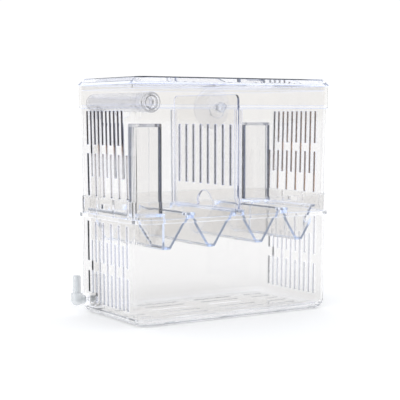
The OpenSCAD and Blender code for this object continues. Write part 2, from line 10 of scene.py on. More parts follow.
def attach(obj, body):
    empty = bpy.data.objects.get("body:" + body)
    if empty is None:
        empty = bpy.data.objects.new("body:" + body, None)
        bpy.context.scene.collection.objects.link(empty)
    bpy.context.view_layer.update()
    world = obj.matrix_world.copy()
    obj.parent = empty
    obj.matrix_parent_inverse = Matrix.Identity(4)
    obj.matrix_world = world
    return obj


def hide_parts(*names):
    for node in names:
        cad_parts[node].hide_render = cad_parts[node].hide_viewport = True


bl_info = {
    "name": "Fish breeding box",
    "version": (1, 0, 0),
    "blender": (4, 5, 0),
    "location": "3D View > Sidebar > Breeding box",
    "description": "Dresses the clear boxes, trays, suction cup and water circuit of a fish breeding box",
    "category": "Object",
}

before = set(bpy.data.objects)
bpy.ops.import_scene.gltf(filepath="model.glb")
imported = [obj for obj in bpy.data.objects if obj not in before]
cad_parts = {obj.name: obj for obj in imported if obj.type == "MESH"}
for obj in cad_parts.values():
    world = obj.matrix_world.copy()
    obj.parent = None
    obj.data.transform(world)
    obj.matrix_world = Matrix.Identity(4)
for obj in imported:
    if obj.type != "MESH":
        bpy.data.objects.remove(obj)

MM = 0.001
UPRIGHT_NODES = ("left_upright", "right_upright")
TRAY_NODES = ("left_tray", "right_tray")

# Places of cut walls and rims, where the materials paint shade, light and glow, as ranges of |x|, |y| and z in
# millimetres; x keeps its sign in the boxes of ONE_SIDED
TRAY_ENDS = ((0, 44.5, 50), (200, 60, 100))
LEFT_SLOTS = ((-99, 0, 90), (-94.2, 40, 180))
RIGHT_SLOTS = ((94.2, 0, 90), (99, 40, 180))
BOX_SLOTS = ((94, 0, 8), (101, 49.5, 84))
BACK_SLOTS = ((94, 38, 8), (101, 49.5, 84))
BASE_PLATE = ((0, 0, -1), (200, 100, 4))
SHOULDER = ((0, 0, 84.5), (105, 60, 88.2))
FRAME_FOOT = ((0, 0, 88.2), (105, 60, 90.5))
TRAY_RIM = ((0, 0, 91.3), (200, 60, 94))
LID_RIM_ENDS = ((91, 0, 198.5), (105, 60, 206))
LID_RIM_SIDES = ((0, 48.5, 198.5), (105, 60, 206))
CUP_KNOB = ((30, 40, 170), (70, 53, 200))
BASE_RIM_ENDS = ((90, 0, -1), (105, 60, 7))
BASE_RIM_SIDES = ((0, 47, -1), (105, 60, 7))
DIVIDER_EDGES = ((0, 46.5, 90), (2, 60, 200))
DIVIDER_SLOTS = ((0, 0, 110), (2, 46, 168))
LEFT_SIDE_RIB = ((-77.3, 40, 93.2), (-75.1, 60, 170))
RIGHT_SIDE_RIB = ((75.1, 40, 93.2), (76.4, 60, 170))
LEFT_END_RIB = ((-100, 33.1, 93.2), (-92.2, 37, 170))
RIGHT_END_RIB = ((92.8, 33.1, 93.2), (100, 34.4, 170))
UPRIGHT_CAP_FRONT = ((75, 30, 163.6), (81, 60, 170))
UPRIGHT_CAP_END = ((70, 33, 163.6), (100, 38.5, 170))
ONE_SIDED = (LEFT_SLOTS, RIGHT_SLOTS, LEFT_SIDE_RIB, RIGHT_SIDE_RIB, LEFT_END_RIB, RIGHT_END_RIB)

# Ways that a band's faces may look: an axis, and how closely a face has to follow it
ACROSS = {"facing": (0, 1, 0), "turn": 0.6}
SIDEWAYS = {"facing": (0, 1, 0), "turn": 0.9}
UPWARDS = {"facing": (0, 0, 1), "turn": 0.8}
ANY_WAY = {"facing": (0, 0, 0), "turn": -1.0}

# Optics of the two plastics, and the slow waves of a moulded face as a bump's strength
STYRENE_IOR = 1.49
VINYL_IOR = 1.45
SHEET_WAVES = 0.05
TRAY_WAVES = 0.12
VINYL_WAVES = 0.25
HAZE = 0.05
TRAY_HAZE = 0.06
VINYL_HAZE = 0.06

# Sockets of a Mix node that share one name: the two vectors, the two colours and the results
MIX_VECTORS = (4, 5)
MIX_COLOURS = (6, 7)
MIXED_VECTOR = 1
MIXED_COLOUR = 2

# Places of the soft pieces, in metres
CUP_AXIS = (0.0505, 0.0, 0.1803)
GROMMET_PLACE = (-0.09705, 0.041, 0.012)
OUTLET_PLACE = (-0.0853, 0.041, 0.1837)

# The outlet's turn, and its sizes in millimetres; its length runs to the mouth's front
OUTLET_TURN = math.radians(2)
OUTLET_LENGTH = 89.66
ARM_RADIUS = 8
ARM_BORE = 5
SPIGOT_RADIUS = 7
MOUTH_LENGTH = 13
MOUTH_DEPTH = 6
SKIN_VOXEL = 0.36
SKIN_ROUNDS = 8

# Rounding of moulded edges: the air elbow's in metres, and the least angle that counts as an edge
ELBOW_BEVEL = 0.3 * MM
BEVEL_ANGLE = math.radians(40)

# Soft lamps: name, place in metres, angle in degrees and strength
LAMPS = (
    ("key", (-0.9, -0.7, 1.5), 40.0, 0.3),
    ("fill", (1.1, -0.6, 1.2), 60.0, 0.15),
    ("back", (0.3, 1.3, 1.3), 60.0, 0.15),
)
SKY_STRENGTH = 1.05
FLOOR_RADIUS = 30.0
FLOOR_DROP = 0.0002
CLEAR_BOUNCES = 36
GLOSSY_BOUNCES = 8


def colour_property(name, description, value):
    """A colour with alpha that a user can change."""
    return bpy.props.FloatVectorProperty(
        name=name, description=description, default=(*value, 1.0), size=4, min=0.0, max=1.0, subtype="COLOR",
    )


def length_property(name, description, millimetres):
    """A length in metres, given here in millimetres."""
    return bpy.props.FloatProperty(
        name=name, description=description, default=millimetres * MM, min=0.0, soft_max=2.0, subtype="DISTANCE",
        unit="LENGTH",
    )


def share_property(name, description, value):
    """A plain number from nought to one."""
    return bpy.props.FloatProperty(name=name, description=description, default=value, min=0.0, max=1.0)


def place_property(name, description, metres):
    """A place along an axis, which may be below nought."""
    return bpy.props.FloatProperty(
        name=name, description=description, default=metres, subtype="DISTANCE", unit="LENGTH"
    )


def angle_property(name, description, degrees):
    """An angle, given here in degrees."""
    return bpy.props.FloatProperty(
        name=name, description=description, default=math.radians(degrees), subtype="ANGLE", unit="ROTATION"
    )


class BreedingBoxClear(bpy.types.PropertyGroup):
    """Clear polystyrene of the boxes, lid, divider and trays, with its painted shade, painted light and painted
    glow.
    """

    wall_colour: colour_property("Wall colour", "Tint that a clear wall gives to light", (0.908, 0.9, 0.89))
    lid_colour: colour_property("Lid colour", "Tint that the lid gives to light", (0.94, 0.938, 0.94))
    # Painted light: the base plate gets a paler tint than the walls, so that it looks brighter.
    base_painted_light: colour_property("Base colour", "Tint that the base plate gives to light", (0.97, 0.97, 0.975))
    # Painted shade: dark lines along each piece's edges; the clear pieces also give off their painted glow in
    # these colours.
    box_edge_shade: colour_property("Box edge colour", "Tint along the lower box's edges", (0.75, 0.78, 0.85))
    frame_edge_shade: colour_property("Frame edge colour", "Tint along the frame's edges", (0.42, 0.48, 0.66))
    divider_edge_shade: colour_property(
        "Divider edge colour", "Tint along the divider's edges", (0.3, 0.38, 0.7)
    )
    lid_edge_shade: colour_property("Lid edge colour", "Tint along the lid's edges", (0.5, 0.56, 0.74))
    tray_edge_shade: colour_property("Tray edge colour", "Tint along the trays' edges", (0.47, 0.56, 0.77))
    # Painted shade in the walls of the end slots, the lower box's slots and the divider's slots: dark inside,
    # brown at the fringe and lighter at the left slots' foot.
    slot_shade: colour_property("Slot colour", "Inner part of the end slots' walls", (0.008, 0.012, 0.035))
    slot_fringe_shade: colour_property(
        "Slot fringe colour", "Outer part of the end slots' walls", (0.42, 0.22, 0.09)
    )
    slot_foot_shade: colour_property(
        "Slot foot colour", "Lower part of the left end slots' walls", (0.55, 0.53, 0.52)
    )
    box_slot_shade: colour_property("Box slot colour", "Walls of the lower box's slots", (0.6, 0.61, 0.66))
    divider_slot_shade: colour_property(
        "Divider slot colour", "Walls of the divider's slots", (0.12, 0.12, 0.13)
    )
    # Painted shade on the uprights' ribs and caps.
    rib_shade: colour_property("Rib colour", "Ribs of the trays' uprights", (0.012, 0.02, 0.06))
    cap_shade: colour_property("Cap colour", "Caps of the trays' uprights", (0.35, 0.37, 0.43))
    # Painted glow: strengths of the light that edges, rims and cut walls give off, though they are no lamp.
    painted_edge_glow: share_property(
        "Edge glow", "Light that leaves by the edges of the boxes, divider and riser", 0.3
    )
    tray_painted_glow: share_property("Tray glow", "Light that leaves by the trays' edges", 0.5)
    lid_painted_glow: share_property("Lid glow", "Light that leaves by the lid's edges", 0.6)
    base_painted_glow: share_property("Base glow", "Light that leaves by the base's rounded rim", 0.17)
    # Width of the painted shade along the edges.
    edge_width: length_property("Edge width", "Reach of the dark line along an edge", 0.8)
    roughness: share_property("Roughness", "Roughness of the polished faces", 0.02)
    bevel: length_property("Bevel", "Rounding of the moulded edges", 0.25)


class BreedingBoxSoft(bpy.types.PropertyGroup):
    """Soft vinyl of the cup, outlet and grommet, with painted shade along its edges, a painted glow and the
    knob's painted blue cast.
    """

    cup_colour: colour_property("Cup colour", "Clear soft vinyl of the suction cup", (0.9, 0.905, 0.935))
    # Painted shade along the suction cup's edges.
    cup_edge_shade: colour_property(
        "Cup edge colour", "Tint along the suction cup's edges", (0.35, 0.42, 0.72)
    )
    # Painted blue cast on the suction cup's knob.
    knob_painted_cast: colour_property("Knob colour", "Blue cast of the suction cup's knob", (0.8, 0.85, 0.97))
    grommet_colour: colour_property("Grommet colour", "Clear soft vinyl of the grommet", (0.96, 0.96, 0.975))
    outlet_colour: colour_property("Outlet colour", "Clear soft vinyl of the outlet's arm", (0.83, 0.835, 0.87))
    mouth_colour: colour_property(
        "Mouth colour", "Clear soft vinyl of the outlet's mouth", (0.95, 0.955, 0.975)
    )
    # Painted shade along the edges of the outlet, its mouth and the grommet.
    outlet_edge_shade: colour_property(
        "Outlet edge colour", "Tint along the outlet's edges", (0.42, 0.49, 0.75)
    )


class BreedingBoxStage(bpy.types.PropertyGroup):
    """Camera, floor and light."""

    camera_side: place_property("Camera side", "Camera's place along X", -0.5505)
    camera_front: place_property("Camera front", "Camera's place along Y", -0.8563)
    camera_height: place_property("Camera height", "Camera's place along Z", 0.1738)
    camera_turn: angle_property("Camera turn", "Camera's turn about Z", -32.51)
    camera_tilt: angle_property("Camera tilt", "Camera's tilt below the horizon", 4.26)
    camera_lens: bpy.props.FloatProperty(
        name="Camera lens", description="Focal length on a 36 mm sensor, in millimetres", default=103.4
    )
    floor_colour: colour_property("Floor colour", "Plain pale floor", (0.93, 0.93, 0.93))
    floor_glow: share_property("Floor glow", "Light that the floor itself gives, as a light table does", 0.39)
    sky_colour: colour_property("Sky colour", "Light around the horizon", (1.0, 1.0, 1.0))
    overhead_colour: colour_property("Overhead colour", "Light straight above", (0.5, 0.52, 0.56))


# ---------------------------------------------------------------- node helpers


def tree_node(tree, kind, place=(0, 0), **values):
    """A node of a tree; keyword values are attributes, and a value for a socket goes in inputs."""
    node = tree.nodes.new(kind)
    node.location = place
    for name, value in values.pop("inputs", {}).items():
        node.inputs[name].default_value = value
    for name, value in values.items():
        setattr(node, name, value)
    return node


def new_group(name, inputs, outputs):
    """An empty shader node group; sockets are (name, kind, default) and (name, kind)."""
    group = bpy.data.node_groups.new(name, "ShaderNodeTree")
    for label, kind, default in inputs:
        socket = group.interface.new_socket(name=label, in_out="INPUT", socket_type=kind)
        socket.default_value = default
    for label, kind in outputs:
        group.interface.new_socket(name=label, in_out="OUTPUT", socket_type=kind)
    start = tree_node(group, "NodeGroupInput", (-800, 0))
    end = tree_node(group, "NodeGroupOutput", (600, 0))
    return group, start, end


def painted_edge_shade_group():
    """Painted shade: a colour that darkens along edges, drawn on the clear wall as dark lines."""
    if "painted_edge_shade" in bpy.data.node_groups:
        return bpy.data.node_groups["painted_edge_shade"]
    group, start, end = new_group(
        "painted_edge_shade",
        [
            ("Wall", "NodeSocketColor", (0.9, 0.9, 0.9, 1)),
            ("Edge", "NodeSocketColor", (0.05, 0.06, 0.1, 1)),
            ("Width", "NodeSocketFloat", 0.0008),
            ("Reach", "NodeSocketFloat", 0.25),
        ],
        [("Colour", "NodeSocketColor"), ("Mask", "NodeSocketFloat")],
    )
    link = group.links.new
    soft = tree_node(group, "ShaderNodeBevel", (-560, 120), samples=6)
    link(start.outputs["Width"], soft.inputs["Radius"])
    plain = tree_node(group, "ShaderNodeNewGeometry", (-560, -120))
    cosine = tree_node(group, "ShaderNodeVectorMath", (-380, 60), operation="DOT_PRODUCT")
    link(soft.outputs["Normal"], cosine.inputs[0])
    link(plain.outputs["Normal"], cosine.inputs[1])
    turned = tree_node(group, "ShaderNodeMath", (-200, 60), operation="SUBTRACT")
    turned.inputs[0].default_value = 1.0
    link(cosine.outputs["Value"], turned.inputs[1])
    mask = tree_node(group, "ShaderNodeMath", (-20, 60), operation="DIVIDE", use_clamp=True)
    link(turned.outputs[0], mask.inputs[0])
    link(start.outputs["Reach"], mask.inputs[1])
    mix = tree_node(group, "ShaderNodeMix", (200, 0), data_type="RGBA")
    link(mask.outputs[0], mix.inputs["Factor"])
    link(start.outputs["Wall"], mix.inputs[MIX_COLOURS[0]])
    link(start.outputs["Edge"], mix.inputs[MIX_COLOURS[1]])
    link(mix.outputs[MIXED_COLOUR], end.inputs["Colour"])
    link(mask.outputs[0], end.inputs["Mask"])
    return group


def wall_band_group():
    """Mask of the faces that look along one axis inside a range of |x|, |y| and z, and the depth across |x|."""
    if "wall_band" in bpy.data.node_groups:
        return bpy.data.node_groups["wall_band"]
    group, start, end = new_group(
        "wall_band",
        [
            ("Facing", "NodeSocketVector", (0, 1, 0)),
            ("Turn", "NodeSocketFloat", 0.6),
            ("Low", "NodeSocketVector", (0, 0, 0)),
            ("High", "NodeSocketVector", (1, 1, 1)),
            ("One Side", "NodeSocketFloat", 0.0),
        ],
        [("Mask", "NodeSocketFloat"), ("Depth", "NodeSocketFloat"), ("Height", "NodeSocketFloat")],
    )
    link = group.links.new
    where = tree_node(group, "ShaderNodeTexCoord", (-1160, -260))
    both_sides = tree_node(group, "ShaderNodeVectorMath", (-980, -260), operation="ABSOLUTE")
    link(where.outputs["Object"], both_sides.inputs[0])
    signed = tree_node(group, "ShaderNodeVectorMath", (-980, -420), operation="MULTIPLY")
    signed.inputs[1].default_value = (1, 0, 0)
    link(where.outputs["Object"], signed.inputs[0])
    folded = tree_node(group, "ShaderNodeVectorMath", (-800, -420), operation="MULTIPLY_ADD")
    folded.inputs[1].default_value = (0, 1, 1)
    link(both_sides.outputs[0], folded.inputs[0])
    link(signed.outputs[0], folded.inputs[2])
    flip = tree_node(group, "ShaderNodeMix", (-620, -260), data_type="VECTOR")
    link(start.outputs["One Side"], flip.inputs["Factor"])
    link(both_sides.outputs[0], flip.inputs[MIX_VECTORS[0]])
    link(folded.outputs[0], flip.inputs[MIX_VECTORS[1]])
    face = tree_node(group, "ShaderNodeNewGeometry", (-980, 60))
    local = tree_node(
        group, "ShaderNodeVectorTransform", (-800, 60), vector_type="NORMAL", convert_from="WORLD",
        convert_to="OBJECT",
    )
    link(face.outputs["True Normal"], local.inputs[0])
    turned = tree_node(group, "ShaderNodeVectorMath", (-600, 60), operation="ABSOLUTE")
    link(local.outputs[0], turned.inputs[0])
    along = tree_node(group, "ShaderNodeVectorMath", (-420, 60), operation="DOT_PRODUCT")
    link(turned.outputs[0], along.inputs[0])
    link(start.outputs["Facing"], along.inputs[1])
    mask = tree_node(group, "ShaderNodeMath", (-240, 60), operation="GREATER_THAN")
    link(along.outputs["Value"], mask.inputs[0])
    link(start.outputs["Turn"], mask.inputs[1])
    span = tree_node(group, "ShaderNodeVectorMath", (-420, -320), operation="SUBTRACT")
    link(start.outputs["High"], span.inputs[0])
    link(start.outputs["Low"], span.inputs[1])
    inside = tree_node(group, "ShaderNodeVectorMath", (-420, -160), operation="SUBTRACT")
    link(flip.outputs[MIXED_VECTOR], inside.inputs[0])
    link(start.outputs["Low"], inside.inputs[1])
    share = tree_node(group, "ShaderNodeVectorMath", (-240, -200), operation="DIVIDE")
    link(inside.outputs[0], share.inputs[0])
    link(span.outputs[0], share.inputs[1])
    parts = tree_node(group, "ShaderNodeSeparateXYZ", (-60, -200))
    link(share.outputs[0], parts.inputs[0])
    for index, axis in enumerate("XYZ"):
        near = tree_node(group, "ShaderNodeMath", (120, -100 - 120 * index), operation="COMPARE")
        near.inputs[1].default_value = 0.5
        near.inputs[2].default_value = 0.5
        link(parts.outputs[axis], near.inputs[0])
        both = tree_node(group, "ShaderNodeMath", (300, 60 - 120 * index), operation="MULTIPLY")
        link(mask.outputs[0], both.inputs[0])
        link(near.outputs[0], both.inputs[1])
        mask = both
    link(mask.outputs[0], end.inputs["Mask"])
    link(parts.outputs["X"], end.inputs["Depth"])
    link(parts.outputs["Z"], end.inputs["Height"])
    return group


def mould_skin_group():
    """Height and roughness of a moulded face: slow waves, fine scratches and faint haze."""
    if "mould_skin" in bpy.data.node_groups:
        return bpy.data.node_groups["mould_skin"]
    group, start, end = new_group(
        "mould_skin",
        [
            ("Wave Size", "NodeSocketFloat", 30.0),
            ("Scratch Size", "NodeSocketFloat", 900.0),
            ("Scratch Share", "NodeSocketFloat", 0.1),
            ("Smooth", "NodeSocketFloat", 0.02),
            ("Hazy", "NodeSocketFloat", 0.09),
        ],
        [("Height", "NodeSocketFloat"), ("Roughness", "NodeSocketFloat")],
    )
    link = group.links.new
    where = tree_node(group, "ShaderNodeTexCoord", (-800, -260))
    waves = tree_node(group, "ShaderNodeTexNoise", (-520, 160), inputs={"Detail": 2.0})
    link(where.outputs["Object"], waves.inputs["Vector"])
    link(start.outputs["Wave Size"], waves.inputs["Scale"])
    grain = tree_node(group, "ShaderNodeTexNoise", (-520, -120), inputs={"Detail": 5.0})
    link(where.outputs["Object"], grain.inputs["Vector"])
    link(start.outputs["Scratch Size"], grain.inputs["Scale"])
    fine = tree_node(group, "ShaderNodeMath", (-300, -60), operation="MULTIPLY")
    link(grain.outputs[0], fine.inputs[0])
    link(start.outputs["Scratch Share"], fine.inputs[1])
    height = tree_node(group, "ShaderNodeMath", (-100, 100), operation="ADD")
    link(waves.outputs[0], height.inputs[0])
    link(fine.outputs[0], height.inputs[1])
    haze = tree_node(group, "ShaderNodeMapRange", (-100, -160), inputs={"From Min": 0.35, "From Max": 0.75})
    link(waves.outputs[0], haze.inputs["Value"])
    link(start.outputs["Smooth"], haze.inputs["To Min"])
    link(start.outputs["Hazy"], haze.inputs["To Max"])
    link(height.outputs[0], end.inputs["Height"])
    link(haze.outputs[0], end.inputs["Roughness"])
    return group


def group_node(tree, group, place, values):
    """A group placed in a material with its own values."""
    node = tree_node(tree, "ShaderNodeGroup", place, node_tree=group)
    for name, value in values.items():
        node.inputs[name].default_value = value
    return node


def plain_material(name):
    """A material with one Principled shader; returns both."""
    material = bpy.data.materials.new(name)
    material.use_nodes = True
    shader = material.node_tree.nodes["Principled BSDF"]
    return material, shader


def wall_band(tree, place, box, way):
    """The mask of a box's cut walls; the box is in millimetres, and way says how its faces look."""
    low, high = (tuple(value * MM for value in corner) for corner in box)
    one_side = float(box in ONE_SIDED)
    values = {"Facing": way["facing"], "Turn": way["turn"], "Low": low, "High": high, "One Side": one_side}
    return group_node(tree, wall_band_group(), place, values)


def share_of(tree, place, socket, start, end):
    """A value from nought to one as a socket runs from start to end."""
    node = tree_node(tree, "ShaderNodeMapRange", place, inputs={"From Min": start, "From Max": end})
    tree.links.new(socket, node.inputs["Value"])
    return node.outputs[0]


def blend_colours(tree, place, factor, first, second):
    """Two colours or colour sockets, mixed by a factor socket."""
    node = tree_node(tree, "ShaderNodeMix", place, data_type="RGBA")
    tree.links.new(factor, node.inputs["Factor"])
    for index, colour in zip(MIX_COLOURS, (first, second)):
        if isinstance(colour, bpy.types.NodeSocket):
            tree.links.new(colour, node.inputs[index])
        else:
            node.inputs[index].default_value = colour
    return node.outputs[MIXED_COLOUR]


def band_colour(tree, below, place, band):
    """Lays a painted band on cut walls over the colour that a socket gives; returns the new colour socket.

    The bands paint shade in the slots and on the ribs, caps and trays' ends, light on the base plate and a blue
    cast on the cup's knob. A band has a box and the colour near its low |x|. It may have a way to look, and the
    colour far from there, with the part of the depth where the two change and how that leans with height. It may
    also have a colour of its own at the foot, which the left end slots use for a lighter painted foot.
    """
    x, y = place
    mask = wall_band(tree, place, band["box"], band.get("way", ACROSS))
    near, far = band["near"], band.get("far", band["near"])
    across = tree_node(tree, "ShaderNodeMath", (x + 90, y - 120), operation="MULTIPLY_ADD")
    across.inputs[1].default_value = band.get("lean", 0.0)
    tree.links.new(mask.outputs["Height"], across.inputs[0])
    tree.links.new(mask.outputs["Depth"], across.inputs[2])
    depth = share_of(tree, (x + 180, y - 120), across.outputs[0], *band.get("change", (0.3, 0.75)))
    colour = blend_colours(tree, (x + 360, y), depth, near, far)
    if "foot" in band:
        height = share_of(tree, (x + 180, y - 300), mask.outputs["Height"], 0.5, 0.66)
        colour = blend_colours(tree, (x + 540, y), height, band["foot"], colour)
    return blend_colours(tree, (x + 720, y), mask.outputs["Mask"], below, colour)


def painted_edge_glow(tree, shader, painted_shade_mask, colour, share, painted_glow_boxes):
    """Painted glow: the edges and cut walls of a clear sheet give off light in the edge colour, though they are
    no lamp; a box has its own share.
    """
    mask = painted_shade_mask
    for index, (box, part, way) in enumerate(painted_glow_boxes):
        height = -420 - 260 * index
        band = wall_band(tree, (-900, height), box, way)
        weak = tree_node(tree, "ShaderNodeMath", (-700, height), operation="MULTIPLY")
        weak.inputs[1].default_value = part
        tree.links.new(band.outputs["Mask"], weak.inputs[0])
        wider = tree_node(tree, "ShaderNodeMath", (-500, height), operation="MAXIMUM")
        tree.links.new(mask, wider.inputs[0])
        tree.links.new(weak.outputs[0], wider.inputs[1])
        mask = wider.outputs[0]
    # Painted glow in the edge colour, over the painted edge shade and the boxes.
    glow = blend_colours(tree, (-350, 60), mask, (0.0, 0.0, 0.0, 1.0), colour)
    tree.links.new(glow, shader.inputs["Emission Color"])
    shader.inputs["Emission Strength"].default_value = share


def moulded_material(name, tint, skin, bump, ior, bands):
    """A see-through moulded plastic with painted shade along its edges and painted bands; returns the material,
    its shader and the mask of the painted edge shade.
    """
    material, shader = plain_material(name)
    tree = material.node_tree
    # Painted shade along the edges, from the edge group.
    tint = group_node(tree, painted_edge_shade_group(), (-700, 200), tint)
    skin = group_node(tree, mould_skin_group(), (-700, -150), skin)
    waves = tree_node(tree, "ShaderNodeBump", (-350, -200), inputs=bump)
    tree.links.new(skin.outputs["Height"], waves.inputs["Height"])
    colour = tint.outputs["Colour"]
    for index, band in enumerate(bands):
        colour = band_colour(tree, colour, (-700, 500 + 420 * index), band)
    tree.links.new(colour, shader.inputs["Base Color"])
    tree.links.new(skin.outputs["Roughness"], shader.inputs["Roughness"])
    tree.links.new(waves.outputs["Normal"], shader.inputs["Normal"])
    shader.inputs["Transmission Weight"].default_value = 1.0
    shader.inputs["IOR"].default_value = ior
    return material, shader, tint.outputs["Mask"]


def clear_material(name, clear, wall, edge, glow, bands=(), painted_glow_boxes=(), waves=SHEET_WAVES, haze=HAZE):
    """Clear plastic: refracting faces, painted shade along the edges with a painted glow there, and painted bands
    of cut wall.
    """
    smooth = clear.roughness
    material, shader, mask = moulded_material(
        name,
        {"Wall": wall, "Edge": edge, "Width": clear.edge_width, "Reach": 0.16},
        {
            "Wave Size": 26.0, "Scratch Size": 700.0, "Scratch Share": 0.02, "Smooth": smooth,
            "Hazy": smooth + haze,
        },
        {"Strength": waves, "Distance": 0.0006},
        STYRENE_IOR,
        bands,
    )
    painted_edge_glow(material.node_tree, shader, mask, edge, glow, painted_glow_boxes)
    return material


def vinyl_material(name, colour, edge, rough, glow, bands=(), reach=0.5):
    """Soft clear vinyl with a fine satin skin, painted shade along its edges and a painted glow in its own
    colour.
    """
    material, shader, _ = moulded_material(
        name,
        {"Wall": colour, "Edge": edge, "Width": 0.0008, "Reach": reach},
        {
            "Wave Size": 60.0, "Scratch Size": 1500.0, "Scratch Share": 0.25, "Smooth": rough,
            "Hazy": rough + VINYL_HAZE,
        },
        {"Strength": VINYL_WAVES, "Distance": 0.0003},
        VINYL_IOR,
        bands,
    )
    # Painted glow: the vinyl gives off light in its own colour, though it is no lamp.
    shader.inputs["Emission Color"].default_value = colour
    shader.inputs["Emission Strength"].default_value = glow
    return material


# ---------------------------------------------------------------- mesh helpers


def dress(node, material, bevel):
    """Gives a CAD node its finish, or leaves it its own, and rounds its edges a little."""
    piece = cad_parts[node]
    if material is not None:
        piece.data.materials.clear()
        piece.data.materials.append(material)
    rounding = piece.modifiers.new("moulded_edges", "BEVEL")
    rounding.width = bevel
    rounding.segments = 2
    rounding.limit_method = "ANGLE"
    rounding.angle_limit = BEVEL_ANGLE
    rounding.use_clamp_overlap = True
    rounding.harden_normals = True


def lathe(name, profile, place, turn, segments=64):
    """A turned piece: profile is (radius, height) pairs in millimetres, bottom to top, closed on itself."""
    mesh = bmesh.new()
    rings = []
    for radius, height in profile:
        if radius < 1e-6:
            rings.append([mesh.verts.new((0, 0, height * MM))])
            continue
        rings.append([
            mesh.verts.new((radius * MM * math.cos(a), radius * MM * math.sin(a), height * MM))
            for a in (2 * math.pi * i / segments for i in range(segments))
        ])
    pairs = list(zip(rings, rings[1:] + rings[:1]))
    for low, high in pairs:
        if len(low) == 1 and len(high) == 1:
            continue
        for i in range(segments):
            j = (i + 1) % segments
            corners = [low[i % len(low)], low[j % len(low)], high[j % len(high)], high[i % len(high)]]
            unique = list(dict.fromkeys(corners))
            if len(unique) > 2:
                mesh.faces.new(unique)
    bmesh.ops.recalc_face_normals(mesh, faces=mesh.faces)
    data = bpy.data.meshes.new(name)
    mesh.to_mesh(data)
    mesh.free()
    data.transform(Matrix.Translation(place) @ turn)
    piece = bpy.data.objects.new(name, data)
    bpy.context.collection.objects.link(piece)
    for face in data.polygons:
        face.use_smooth = True
    return piece


def rounded(profile, reach, steps=4):
    """The same profile with its corners rounded; points on the axis stay as they are."""
    made = []
    for index, corner in enumerate(profile):
        middle = Vector(corner)
        if middle.x < 1e-6:
            made.append(tuple(middle))
            continue
        ends = []
        for other in (profile[index - 1], profile[(index + 1) % len(profile)]):
            away = Vector(other) - middle
            ends.append(middle + away * min(0.48, reach / max(away.length, 1e-6)))
        for step in range(steps + 1):
            share = step / steps
            point = ends[0] * (1 - share) ** 2 + middle * 2 * share * (1 - share) + ends[1] * share ** 2
            made.append((point.x, point.y))
    return made


def dome(radius, steps=12):
    """Profile of a half ball, from its pole below to its equator at height nought."""
    angles = (math.pi / 2 * (step / steps - 1) for step in range(steps + 1))
    return [(radius * math.cos(a) if a > -math.pi / 2 else 0.0, radius * math.sin(a)) for a in angles]


def settle(piece):
    """Turns a piece's modifiers into its own mesh."""
    bpy.context.view_layer.update()
    made = bpy.data.meshes.new_from_object(piece.evaluated_get(bpy.context.evaluated_depsgraph_get()))
    made.name = piece.name
    piece.modifiers.clear()
    piece.data = made


def carve(piece, tool, operation):
    """Joins a closed tool to a piece, or cuts it out, and takes the tool away."""
    step = piece.modifiers.new("carve", "BOOLEAN")
    step.operation = operation
    step.solver = "EXACT"
    step.object = tool
    settle(piece)
    bpy.data.objects.remove(tool)


def soft_skin(piece, voxel, rounds):
    """Gives a carved piece the rounded edges and the even skin of soft moulded vinyl."""
    skin = piece.modifiers.new("even_skin", "REMESH")
    skin.mode = "VOXEL"
    skin.voxel_size = voxel * MM
    skin.use_smooth_shade = True
    smooth = piece.modifiers.new("soft_edges", "SMOOTH")
    smooth.factor = 0.5
    smooth.iterations = rounds
    settle(piece)


def finish_piece(piece, material, body, nodes=()):
    """Gives a made piece its finish, its body and the CAD nodes it stands for."""
    piece.data.materials.clear()
    piece.data.materials.append(material)
    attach(piece, body)
    if nodes:
        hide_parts(*nodes)
    return piece


def make_suction_cup(material):
    """Knob, neck and thin flared disc of the soft cup, turned in one piece along Y."""
    knob_and_neck = [
        (0, 47.2), (2.2, 47.0), (3.4, 46.6), (4.4, 46.7), (5.0, 47.8), (5.0, 50.6), (4.6, 51.6), (3.0, 51.7),
        (3.0, 57.4), (3.6, 58.0),
    ]
    outer_face = [(6.4, 58.2), (9.2, 59.3), (12.5, 61.0), (16.0, 63.1), (18.8, 64.9), (20.0, 65.6), (20.15, 66.1)]
    dish = [
        (19.2, 66.05), (17.8, 65.4), (14.6, 63.6), (11.0, 61.8), (8.4, 60.8), (5.6, 60.3), (2.6, 60.5), (0, 60.7),
    ]
    profile = knob_and_neck + outer_face + dish
    piece = lathe("cup_soft", rounded(profile, 0.6), CUP_AXIS, Matrix.Rotation(-math.pi / 2, 4, "X"), 96)
    return finish_piece(piece, material, "cup", ("suction_cup",))


def make_grommet(material):
    """Lip, neck and rolled flange of the soft grommet, turned along X."""
    flange = [(2.95, -1.5), (3.3, -1.6), (5.0, -1.6), (5.6, -1.1), (5.6, -0.5), (5.2, -0.05), (4.15, -0.02)]
    lip = [(4.15, 2.1), (4.9, 2.15), (4.95, 2.4), (4.2, 3.3), (3.3, 3.5), (2.95, 3.4)]
    along = Matrix.Rotation(math.pi / 2, 4, "Y")
    piece = lathe("grommet_soft", rounded(flange + lip, 0.35), GROMMET_PLACE, along, 72)
    return finish_piece(piece, material, "tank", ("elbow_grommet",))


